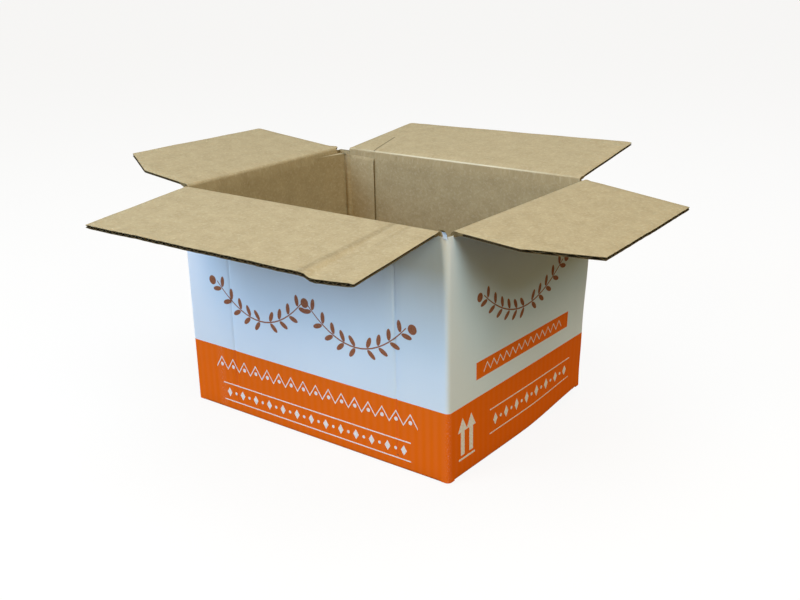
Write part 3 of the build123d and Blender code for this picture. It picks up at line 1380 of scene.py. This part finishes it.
@dataclass(frozen=True)
class PrintedLiner(BoardFinish):
    """White-top liner, flexo printed in matt water-based ink: a flat colour, thin over the flutes."""

    relief: float = 0.035
    roughness: float = 0.6
    specular: float = 0.15
    pale_field: str = "#E6EAEC"
    band: str = "#F76B00"
    pale_patch: str = "#EBEEEF"
    bare_white: str = "#E6E7E6"
    worn: str = "#EAE8E2"
    patches: Grain = Grain(60, 80, 1.3, 2, 0.3, 0.7)
    rubs: Grain = Grain(0.8, 1.6, 6.6, 3, 0.5, 0.7, 0.16)
    fibres: Grain = Grain(0.8, 1.2, 9.0, 4, 0.3, 0.7)
    fibre_height: float = 0.25
    thin_share: float = 0.012
    rub_core: float = 0.5
    rub_reach: float = 4.0
    band_top: float = 51.3
    band_foot: float = -4.0
    stripe_low: float = 64.0
    stripe_high: float = 76.4
    stripe_start: float = -59.0
    stripe_end: float = 63.5

    def within(self, tree: bpy.types.NodeTree, value: bpy.types.NodeSocket, low: float,
               high: float) -> bpy.types.NodeSocket:
        """Give 1 where a length in metres lies between two places in millimetres, 0 elsewhere."""
        half = (high - low) / 2 * MM
        return add_node(tree, "ShaderNodeMath", {0: value, 1: (low + high) / 2 * MM, 2: half},
                        operation="COMPARE").outputs[0]

    def rub_lines(self, tree: bpy.types.NodeTree, u: bpy.types.NodeSocket,
                  size: CaseSize) -> bpy.types.NodeSocket:
        """Give 1 along upright lines where the ink is rubbed and 0 away from them.

        One line is the near fold. The others follow from it at even steps along the blank, each half
        of a long and a short panel.

        Args:
            tree: Tree of the material.
            u: Place along the blank.
            size: Sizes of the case.

        Returns:
            The socket that carries it.
        """
        wrapped = add_node(tree, "ShaderNodeMath", {
            0: u, 1: size.half_width * MM, 2: (size.half_length + 2 * size.half_width) * MM,
        }, operation="WRAP")
        fold_gap = add_node(tree, "ShaderNodeMath", {0: wrapped.outputs[0], 1: size.half_length * MM},
                            operation="SUBTRACT")
        away = add_node(tree, "ShaderNodeMath", {0: fold_gap.outputs[0]}, operation="ABSOLUTE")
        return add_node(tree, "ShaderNodeMapRange", {
            "Value": away.outputs[0], "From Min": self.rub_core * MM, "From Max": self.rub_reach * MM,
            "To Min": 1.0, "To Max": 0.0,
        }).outputs["Result"]

    def orange(self, tree: bpy.types.NodeTree, blank: dict[str, bpy.types.NodeSocket],
               size: CaseSize) -> bpy.types.NodeSocket:
        """Give 1 on the band round the case's foot and on the stripes of its short panels.

        Args:
            tree: Tree of the material.
            blank: The place on the blank.
            size: Sizes of the case.

        Returns:
            The socket that carries it.
        """
        printed = self.within(tree, blank["v"], self.band_foot, self.band_top)
        for side in (-1, 1):
            middle = side * (size.half_length + size.half_width)
            along = self.within(tree, blank["u"], middle + self.stripe_start, middle + self.stripe_end)
            up = self.within(tree, blank["v"], self.stripe_low, self.stripe_high)
            both = add_node(tree, "ShaderNodeMath", {0: along, 1: up}, operation="MULTIPLY")
            printed = add_node(tree, "ShaderNodeMath", {0: printed, 1: both.outputs[0]},
                               operation="MAXIMUM").outputs[0]
        return printed

    def material(self, name: str, size: CaseSize) -> bpy.types.Material:
        """Make the material.

        Args:
            name: Name of the material.
            size: Sizes of the case, for the places of folds and stripes.

        Returns:
            The material.
        """
        material, tree = self.start(name)
        blank = self.blank(tree)
        colour = self.flecked(tree, blank["place"], linear(self.pale_field), self.patches, self.pale_patch)
        unprinted = add_node(tree, "ShaderNodeMath", {0: blank["v"], 1: self.band_foot * MM},
                             operation="LESS_THAN")
        rubbed = add_node(tree, "ShaderNodeMath", {
            0: self.rub_lines(tree, blank["u"], size), 1: self.speckle(tree, blank["place"], self.rubs),
        }, operation="MULTIPLY")
        flutes = self.flutes(tree, blank["u"])
        thin = add_node(tree, "ShaderNodeMath", {0: flutes, 1: self.thin_share}, operation="MULTIPLY")
        for share, other in ((self.orange(tree, blank, size), self.band),
                             (unprinted.outputs[0], self.bare_white),
                             (rubbed.outputs[0], self.worn), (thin.outputs[0], self.worn)):
            colour = add_node(tree, "ShaderNodeMix", {0: share, 6: colour, 7: linear(other)},
                              data_type="RGBA").outputs[2]
        height = add_node(tree, "ShaderNodeMath", {
            0: self.speckle(tree, blank["place"], self.fibres), 1: self.fibre_height, 2: flutes,
        }, operation="MULTIPLY_ADD")
        self.shade(tree, colour, height.outputs[0])
        return material


@dataclass(frozen=True)
class CutBoard(BoardFinish):
    """Board where a knife has cut it: dull brown with the fibres standing out, darkened further as painted
    shade of edges that face away from the light.
    """

    relief: float = 0.04
    roughness: float = 0.95
    specular: float = 0.15
    # painted shade: darker than cut board's own brown, for edges turned away from the light
    body: str = "#84734F"
    dark: str = "#5B4B30"
    fibres: Grain = Grain(0.6, 0.6, 4.0, 4, 0.35, 0.65)

    def material(self, name: str) -> bpy.types.Material:
        """Make the material.

        Args:
            name: Name of the material.

        Returns:
            The material.
        """
        material, tree = self.start(name)
        mottle = self.speckle(tree, self.blank(tree)["place"], self.fibres)
        colour = add_node(tree, "ShaderNodeMix", {
            0: mottle, 6: linear(self.body), 7: linear(self.dark),
        }, data_type="RGBA").outputs[2]
        self.shade(tree, colour, mottle)
        return material


@dataclass(frozen=True)
class FluteMedium(CutBoard):
    """Thin recycled medium inside the board, its brown darkened as painted shade in the flute openings."""

    # painted shade: darker than the medium's own brown, for the shade inside the flutes
    body: str = "#57482F"
    dark: str = "#392E1C"
    fibres: Grain = Grain(1.4, 1.4, 4.0, 4, 0.35, 0.65)


@dataclass(frozen=True)
class PrintInk(BoardFinish):
    """Flexo ink on the liner: matt, a little thin in spots, pressed over the same flutes."""

    relief: float = 0.06
    roughness: float = 0.6
    specular: float = 0.35
    body: str = "#A2562F"
    thin: str = "#B06E48"
    spots: Grain = Grain(0.9, 1.6, 14.0, 3, 0.42, 0.66)

    def material(self, name: str) -> bpy.types.Material:
        """Make the material.

        Args:
            name: Name of the material.

        Returns:
            The material.
        """
        material, tree = self.start(name)
        blank = self.blank(tree)
        colour = self.flecked(tree, blank["place"], linear(self.body), self.spots, self.thin)
        self.shade(tree, colour, self.flutes(tree, blank["u"]))
        return material


@dataclass(frozen=True)
class HotMelt(BoardFinish):
    """Hot melt adhesive: cream, smooth and a little cloudy, set in a flattened bead."""

    relief: float = 0.1
    roughness: float = 0.35
    specular: float = 0.5
    body: str = "#E2D6AE"
    cloudy: str = "#D2C28F"
    ripple: float = 4.0

    def material(self, name: str) -> bpy.types.Material:
        """Make the material.

        Args:
            name: Name of the material.

        Returns:
            The material.
        """
        material, tree = self.start(name)
        place = add_node(tree, "ShaderNodeTexCoord")
        ripple = add_node(tree, "ShaderNodeTexNoise", {
            "Vector": place.outputs["Object"], "Scale": 1 / (self.ripple * MM), "Detail": 2.0,
        })
        colour = add_node(tree, "ShaderNodeMix", {
            0: ripple.outputs["Fac"], 6: linear(self.body), 7: linear(self.cloudy),
        }, data_type="RGBA").outputs[2]
        self.shade(tree, colour, ripple.outputs["Fac"])
        return material


def lozenge(u: float, z: float, width: float, height: float) -> Outline:
    """Draw a lozenge about its middle."""
    return [(u, z - height / 2), (u + width / 2, z), (u, z + height / 2), (u - width / 2, z)]


def bar(u: float, z: float, width: float, height: float) -> Outline:
    """Draw an upright rectangle about its middle."""
    half, tall = width / 2, height / 2
    return [(u - half, z - tall), (u + half, z - tall), (u + half, z + tall), (u - half, z + tall)]


def disc(u: float, z: float, radius: float, steps: int = 14) -> Outline:
    """Draw a dot about its middle."""
    turns = [2 * math.pi * step / steps for step in range(steps)]
    return [(u + radius * math.cos(turn), z + radius * math.sin(turn)) for turn in turns]


def leaf(u: float, z: float, length: float, angle: float) -> Outline:
    """Draw one leaf that starts at a place and points along an angle.

    Args:
        u: Where it starts along the panel.
        z: Height of its start.
        length: How long it is.
        angle: The way it points, in radians.

    Returns:
        Its outline.
    """
    middle, reach, half_width, steps = 0.55, 0.45, 0.19, 7
    shape = []
    for step in range(2 * steps):
        run = math.pi * step / steps
        along = length * (middle - reach * math.cos(run))
        aside = length * half_width * math.sin(run)
        shape.append((u + along * math.cos(angle) + aside * math.sin(angle),
                      z + along * math.sin(angle) - aside * math.cos(angle)))
    return shape


def ribbon(line: Outline, thick: float) -> list[Outline]:
    """Draw a line of even thickness as a row of small quads."""
    half = thick / 2
    return [[(a[0], a[1] - half), (b[0], b[1] - half), (b[0], b[1] + half), (a[0], a[1] + half)]
            for a, b in zip(line, line[1:])]


def rule(start: float, end: float, z: float, thick: float, step: float = 6.0) -> list[Outline]:
    """Draw a level rule in short lengths, so that it follows the panel's bow."""
    return ribbon([(u, z) for u in spread(start, end, step)], thick)


def up_arrow(u: float, z: float, height: float) -> list[Outline]:
    """Draw an upright arrow: a shaft with a pointed head.

    Args:
        u: Its middle along the panel.
        z: Height of its foot.
        height: How tall it is.

    Returns:
        The shaft and the head.
    """
    head, shaft, barb = height * 0.36, height * 0.16, height * 0.2
    neck = z + height - head
    return [bar(u, z + (height - head) / 2, shaft, height - head),
            [(u - barb, neck), (u + barb, neck), (u, z + height)]]


@dataclass(frozen=True)
class Garland:
    """A hanging garland: a sagging stem with pairs of leaves along it."""

    start: float
    end: float
    high: float
    sag: float
    leaf_length: float
    pairs: int
    stem_share: float = 0.11
    leaf_spread: float = 0.95

    def stem(self, share: float) -> tuple[float, float]:
        """Place a point of the stem."""
        hang = self.sag * (1 - (2 * share - 1) ** 2)
        return self.start + (self.end - self.start) * share, self.high - hang

    def outlines(self) -> list[Outline]:
        """Draw it.

        Returns:
            The stem's quads and the leaves.
        """
        steps = 2 * self.pairs
        parts = ribbon([self.stem(step / steps) for step in range(steps + 1)],
                       self.leaf_length * self.stem_share)
        for number in range(self.pairs):
            share = (number + 0.5) / self.pairs
            u, z = self.stem(share)
            slope = math.atan2(4 * self.sag * (2 * share - 1), self.end - self.start)
            way = slope if share > 0.5 else slope + math.pi
            parts += [leaf(u, z, self.leaf_length, way + turn)
                      for turn in (-self.leaf_spread, self.leaf_spread)]
        return parts


@dataclass(frozen=True)
class Zigzag:
    """A zigzag border."""

    start: float
    end: float
    z: float
    height: float
    teeth: int
    thick: float

    def outlines(self) -> list[Outline]:
        """Draw it.

        Returns:
            The quads of its line.
        """
        run = (self.end - self.start) / (2 * self.teeth)
        return ribbon([(self.start + run * step, self.z + self.height * (step % 2))
                       for step in range(2 * self.teeth + 1)], self.thick)


@dataclass(frozen=True)
class LozengeRow:
    """A row of lozenges with a dot in each gap, between two level rules."""

    start: float
    count: int
    z: float
    width: float
    height: float
    dot: float
    rule_start: float
    rule_end: float
    rule_away: float
    pitch: float = 14.0
    rule_thick: float = 0.8

    def outlines(self) -> list[Outline]:
        """Draw it.

        Returns:
            The lozenges, the dots, and the quads of the lower and the upper rule.
        """
        marks = [lozenge(self.start + self.pitch * number, self.z, self.width, self.height)
                 for number in range(self.count)]
        marks += [disc(self.start + self.pitch * (number + 0.5), self.z, self.dot)
                  for number in range(self.count - 1)]
        for z in (self.z - self.rule_away, self.z + self.rule_away):
            marks += rule(self.rule_start, self.rule_end, z, self.rule_thick)
        return marks


class InkColour(Enum):
    """The two inks of the small marks."""

    RUSSET = "russet"
    WHITE = "white"


@dataclass
class PrintedMarks:
    """Plain ornaments and rules, printed where a shipping case has its marks. None is a letter."""

    panel: Panel
    film: float = 0.06
    sunk: float = 0.05

    def mesh_of(self, outlines: Iterable[Outline]) -> BoardMesh:
        """Raise each outline a hair over the panel, as a closed film.

        Args:
            outlines: The marks.

        Returns:
            Their mesh.
        """
        mesh = BoardMesh()
        plain = replace(self.panel, presses=())
        for outline in outlines:
            top = [plain.spot(u, z, -self.film) for u, z in outline]
            foot = [plain.spot(u, z, self.sunk) for u, z in outline]
            mesh.face(top, Surface.PRINT)
            mesh.face(foot[::-1], Surface.PRINT)
            for number in range(len(outline)):
                after = (number + 1) % len(outline)
                mesh.face([foot[number], foot[after], top[after], top[number]], Surface.PRINT)
        return mesh

    def russet(self) -> list[Outline]:
        """Draw the russet marks."""
        raise NotImplementedError

    def white(self) -> list[Outline]:
        """Draw the white marks."""
        raise NotImplementedError

    def build(self, inks: dict[InkColour, bpy.types.Material]) -> list[bpy.types.Object]:
        """Make one piece for each ink.

        Args:
            inks: The material of each ink.

        Returns:
            The pieces.
        """
        pieces = []
        for ink, outlines in ((InkColour.RUSSET, self.russet()), (InkColour.WHITE, self.white())):
            piece = self.mesh_of(outlines).build(f"{self.panel.name}_{ink.value}_marks", [inks[ink]])
            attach(piece, "case")
            pieces.append(piece)
        return pieces


@dataclass
class LongPanelMarks(PrintedMarks):
    """The marks of a long panel."""

    garlands: tuple[Garland, ...] = (
        Garland(-88, -2, high=104, sag=23, leaf_length=9.5, pairs=9),
        Garland(2, 88, high=104, sag=23, leaf_length=9.5, pairs=9),
    )
    knots: tuple[float, ...] = (-93, 0, 93)
    knot_radius: float = 3.6
    border: Zigzag = Zigzag(-96, 96, z=34, height=9, teeth=16, thick=1.3)
    border_dot: float = 1.5
    lozenges: LozengeRow = LozengeRow(start=-84, count=13, z=15, width=5, height=7.5, dot=1.2,
                                      rule_start=-90, rule_end=90, rule_away=7)

    def russet(self) -> list[Outline]:
        """Draw two garlands that meet at a dot, and a dot at each outer end.

        Returns:
            The outlines.
        """
        marks = [outline for garland in self.garlands for outline in garland.outlines()]
        return marks + [disc(u, self.garlands[0].high, self.knot_radius) for u in self.knots]

    def white(self) -> list[Outline]:
        """Draw a zigzag border with a dot below each tooth, and a row of lozenges between two rules.

        Returns:
            The outlines.
        """
        border = self.border
        tooth = (border.end - border.start) / border.teeth
        dots = [disc(border.start + tooth * (number + 0.5), border.z + border.height / 3, self.border_dot)
                for number in range(border.teeth)]
        return border.outlines() + dots + self.lozenges.outlines()


@dataclass
class ShortPanelMarks(PrintedMarks):
    """The marks of a short panel."""

    garland: Garland = Garland(-50, 50, high=121, sag=22, leaf_length=9.0, pairs=11)
    knots: tuple[float, ...] = (-55, 55)
    knot_radius: float = 3.2
    border: Zigzag = Zigzag(-50, 54, z=67.4, height=5.6, teeth=13, thick=1.1)
    arrows: tuple[float, ...] = (-75, -65)
    arrow_foot: float = 16.0
    arrow_height: float = 27.0
    ground: tuple[float, float, float, float] = (-70, 13.2, 19, 1.4)
    lozenges: LozengeRow = LozengeRow(start=-35, count=8, z=27, width=5.4, height=9, dot=1.3,
                                      rule_start=-42, rule_end=70, rule_away=9)

    def russet(self) -> list[Outline]:
        """Draw one garland with a dot at each end."""
        dots = [disc(u, self.garland.high, self.knot_radius) for u in self.knots]
        return self.garland.outlines() + dots

    def white(self) -> list[Outline]:
        """Draw a zigzag on the stripe, and two arrows over a bar, lozenges and rules on the band.

        Returns:
            The outlines.
        """
        marks = self.border.outlines()
        for u in self.arrows:
            marks += up_arrow(u, self.arrow_foot, self.arrow_height)
        return marks + [bar(*self.ground)] + self.lozenges.outlines()


@dataclass(frozen=True)
class TornLiner:
    """A torn tongue of the white top liner, curled up at the near top corner."""

    panel: Panel
    u: float = 119.5
    z: float = 168.2
    width: float = 3.5
    length: float = 10.0
    curl: float = math.radians(75)
    thick: float = 0.3
    lift_off: float = 0.1
    narrowing: float = 0.3
    steps: int = 7

    def build(self, materials: Sequence[bpy.types.Material]) -> bpy.types.Object:
        """Make the curled tongue.

        Args:
            materials: The materials of the board, in the order of Surface.

        Returns:
            The piece.
        """
        mesh = BoardMesh()
        outer, inner = [], []
        radius = self.length / self.curl
        for step in range(self.steps + 1):
            share = step / self.steps
            turn = self.curl * share
            out = radius * (1 - math.cos(turn)) + self.lift_off
            up = radius * math.sin(turn)
            narrow = self.width * (1 - self.narrowing * share)
            for rows, shift in ((outer, 0.0), (inner, self.thick)):
                line = []
                for side in (-1, 0, 1):
                    x, y, z, u, v = self.panel.spot(self.u + side * narrow / 2, self.z + up,
                                                    -out + shift * math.cos(turn))
                    line.append((x, y, z - shift * math.sin(turn), u, v))
                rows.append(line)
        mesh.strip(outer, Surface.PRINT)
        mesh.strip(inner, Surface.CUT, flip=True)
        mesh.strip([outer[-1], inner[-1]], Surface.CUT)
        mesh.strip([inner[0], outer[0]], Surface.CUT)
        mesh.cut_sides(outer, inner)
        piece = mesh.build("torn_liner", materials)
        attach(piece, "case")
        return piece


@dataclass(frozen=True)
class Lamp:
    """A soft square lamp: its place and its side in millimetres, its power in watts and its colour."""

    name: str
    place: Point
    size: float
    watts: float
    colour: str

    def hang(self, aim: Vector) -> None:
        """Hang the lamp so that it looks at a place.

        Args:
            aim: The place, in metres.
        """
        data = bpy.data.lights.new(self.name, "AREA")
        data.energy = self.watts
        data.size = self.size * MM
        data.color = linear(self.colour)[:3]
        lamp = bpy.data.objects.new(self.name, data)
        lamp.location = Vector(self.place) * MM
        lamp.rotation_euler = (aim - lamp.location).to_track_quat("-Z", "Y").to_euler()
        bpy.context.scene.collection.objects.link(lamp)


@dataclass(frozen=True)
class Studio:
    """A pale floor, a white surround, soft lamps and the camera at the photograph's place."""

    azimuth: float = 37.906
    elevation: float = 19.201
    roll: float = -1.306
    focal_pixels: float = 1027.0
    image_width: float = 800.0
    sensor: float = 36.0
    eye: Point = (465.2, -581.1, 338.7)
    far_clip: float = 100.0
    aim: Point = (0.0, 0.0, 100.0)
    soft_light: str = "#FFE891"
    soft_strength: float = 0.31
    floor_half: float = 9000.0
    floor_colour: str = "#504C46"
    floor_lift: float = 0.9
    lamps: tuple[Lamp, ...] = (
        Lamp("top_lamp", (-100, 100, 1500), 1200, 24.2, "#BEDBFF"),
        Lamp("key_lamp", (-500, -1100, 650), 700, 17.2, "#A9D1FF"),
        Lamp("rim_lamp", (-200, -1000, 1100), 500, 4.8, "#FFBF00"),
        Lamp("side_lamp", (900, -400, 800), 500, 6.1, "#DFF9FF"),
        Lamp("warm_lamp", (1000, -100, 1100), 500, 3.3, "#FFB151"),
    )

    def camera(self) -> None:
        """Place the camera."""
        azimuth, elevation, roll = (math.radians(a) for a in (self.azimuth, self.elevation, self.roll))
        back = Vector((math.sin(azimuth) * math.cos(elevation), -math.cos(azimuth) * math.cos(elevation),
                       math.sin(elevation)))
        level_right = Vector((0, 0, 1)).cross(back).normalized()
        level_up = back.cross(level_right)
        right = level_right * math.cos(roll) + level_up * math.sin(roll)
        up = level_up * math.cos(roll) - level_right * math.sin(roll)
        data = bpy.data.cameras.new("camera")
        data.sensor_width = self.sensor
        data.lens = self.focal_pixels * self.sensor / self.image_width
        data.clip_end = self.far_clip
        camera = bpy.data.objects.new("camera", data)
        turned = Matrix((right, up, back)).transposed().to_4x4()
        camera.matrix_world = Matrix.Translation(Vector(self.eye) * MM) @ turned
        bpy.context.scene.collection.objects.link(camera)
        bpy.context.scene.camera = camera

    def surround(self) -> None:
        """Make the world: soft light for the case, and plain white where the camera sees it."""
        world = bpy.data.worlds.new("surround")
        bpy.context.scene.world = world
        world.use_nodes = True
        tree = world.node_tree
        tree.nodes.clear()
        ray = add_node(tree, "ShaderNodeLightPath")
        soft = add_node(tree, "ShaderNodeBackground", {
            "Color": linear(self.soft_light), "Strength": self.soft_strength,
        })
        white = add_node(tree, "ShaderNodeBackground", {"Color": (1, 1, 1, 1), "Strength": 1.0})
        both = add_node(tree, "ShaderNodeMixShader", {
            0: ray.outputs["Is Camera Ray"], 1: soft.outputs[0], 2: white.outputs[0],
        })
        add_node(tree, "ShaderNodeOutputWorld", {"Surface": both.outputs[0]})

    def floor(self) -> None:
        """Lay the floor: matt and pale, lit up a little where the camera sees it."""
        material = bpy.data.materials.new("pale_floor")
        material.use_nodes = True
        tree = material.node_tree
        tree.nodes.clear()
        ray = add_node(tree, "ShaderNodeLightPath")
        matt = add_node(tree, "ShaderNodeBsdfDiffuse", {"Color": linear(self.floor_colour)})
        lift = add_node(tree, "ShaderNodeMath", {0: ray.outputs["Is Camera Ray"], 1: self.floor_lift},
                        operation="MULTIPLY")
        glow = add_node(tree, "ShaderNodeEmission", {"Color": (1, 1, 1, 1), "Strength": lift.outputs[0]})
        both = add_node(tree, "ShaderNodeAddShader", {0: matt.outputs[0], 1: glow.outputs[0]})
        add_node(tree, "ShaderNodeOutputMaterial", {"Surface": both.outputs[0]})
        half = self.floor_half * MM
        mesh = bpy.data.meshes.new("studio_floor")
        mesh.from_pydata([(-half, -half, 0), (half, -half, 0), (half, half, 0), (-half, half, 0)], [],
                         [(0, 1, 2, 3)])
        mesh.materials.append(material)
        plane = bpy.data.objects.new("studio_floor", mesh)
        bpy.context.scene.collection.objects.link(plane)

    def build(self) -> None:
        """Set up the whole studio."""
        self.camera()
        self.surround()
        self.floor()
        for lamp in self.lamps:
            lamp.hang(Vector(self.aim) * MM)
        bpy.context.scene.view_settings.view_transform = "Standard"


def make_flaps(size: CaseSize, row: PanelRow) -> list[TopFlap]:
    """Describe the four top flaps as the photograph shows them.

    Args:
        size: Sizes of the case.
        row: Its four walls.

    Returns:
        The front, back, left and right flap.
    """
    bent = BentCorner(PressLine(79.0, 76.0), PressLine(82.0, 86.0), 2.8)
    return [
        TopFlap("front_flap", "front_flap_body", row.front, size, rise=-5.0, long=True, slant=1.5,
                shear=5.0, taper=-2.0, presses=(FRONT_CREASE, FAINT_CREASE), bent=bent, nick=0.5, crush=0.4),
        TopFlap("back_flap", "back_flap_body", row.back, size, rise=4.3, long=True, taper=3.0,
                root_inset=size.root_inset, presses=(BACK_CREASE,), lift_start=4.0, lift_end=0.8),
        TopFlap("left_flap", "left_flap_body", row.left, size, rise=4.3, long=False, trim_side=1,
                root_grow=3.0, lift_start=1.5, lift_end=3.0),
        TopFlap("right_flap", "right_flap_body", row.right, size, rise=-6.0, long=False, trim_side=-1,
                skew=9.5, lift_start=2.0, lift_end=-1.6),
    ]


def main() -> None:
    """Build the case, dress it and set up the studio."""
    logging.basicConfig(level=logging.INFO, format="%(message)s")
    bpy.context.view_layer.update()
    size = CaseSize.from_frame()
    row = PanelRow(size)
    materials = [
        PrintedLiner().material("printed_white_top_liner", size),
        BareKraftLiner().material("bare_kraft_liner", size),
        CutBoard().material("cut_board"),
        FluteMedium().material("flute_medium"),
    ]
    inks = {
        InkColour.RUSSET: PrintInk().material("russet_ink"),
        InkColour.WHITE: PrintInk(body="#FAF6F0", thin="#F4D9C0").material("white_ink"),
    }
    shell = CaseShell(size, row).build(materials)
    LOG.info("%s: %d faces", shell.name, len(shell.data.polygons))
    for flap in make_flaps(size, row):
        piece = flap.build(materials)
        LOG.info("%s: %d faces", piece.name, len(piece.data.polygons))
    for marks in (LongPanelMarks(row.front), LongPanelMarks(row.back), ShortPanelMarks(row.left),
                  ShortPanelMarks(row.right)):
        for piece in marks.build(inks):
            LOG.info("%s: %d faces", piece.name, len(piece.data.polygons))
    torn = TornLiner(row.front).build(materials)
    LOG.info("%s: %d faces", torn.name, len(torn.data.polygons))
    melt = HotMelt().material("hot_melt")
    for node in ("tab_glue", "floor_glue"):
        frame["nodes"][node].data.materials.clear()
        frame["nodes"][node].data.materials.append(melt)
        LOG.info("%s: kept, in hot melt", node)
    Studio().build()


if __name__ == "__main__":
    main()
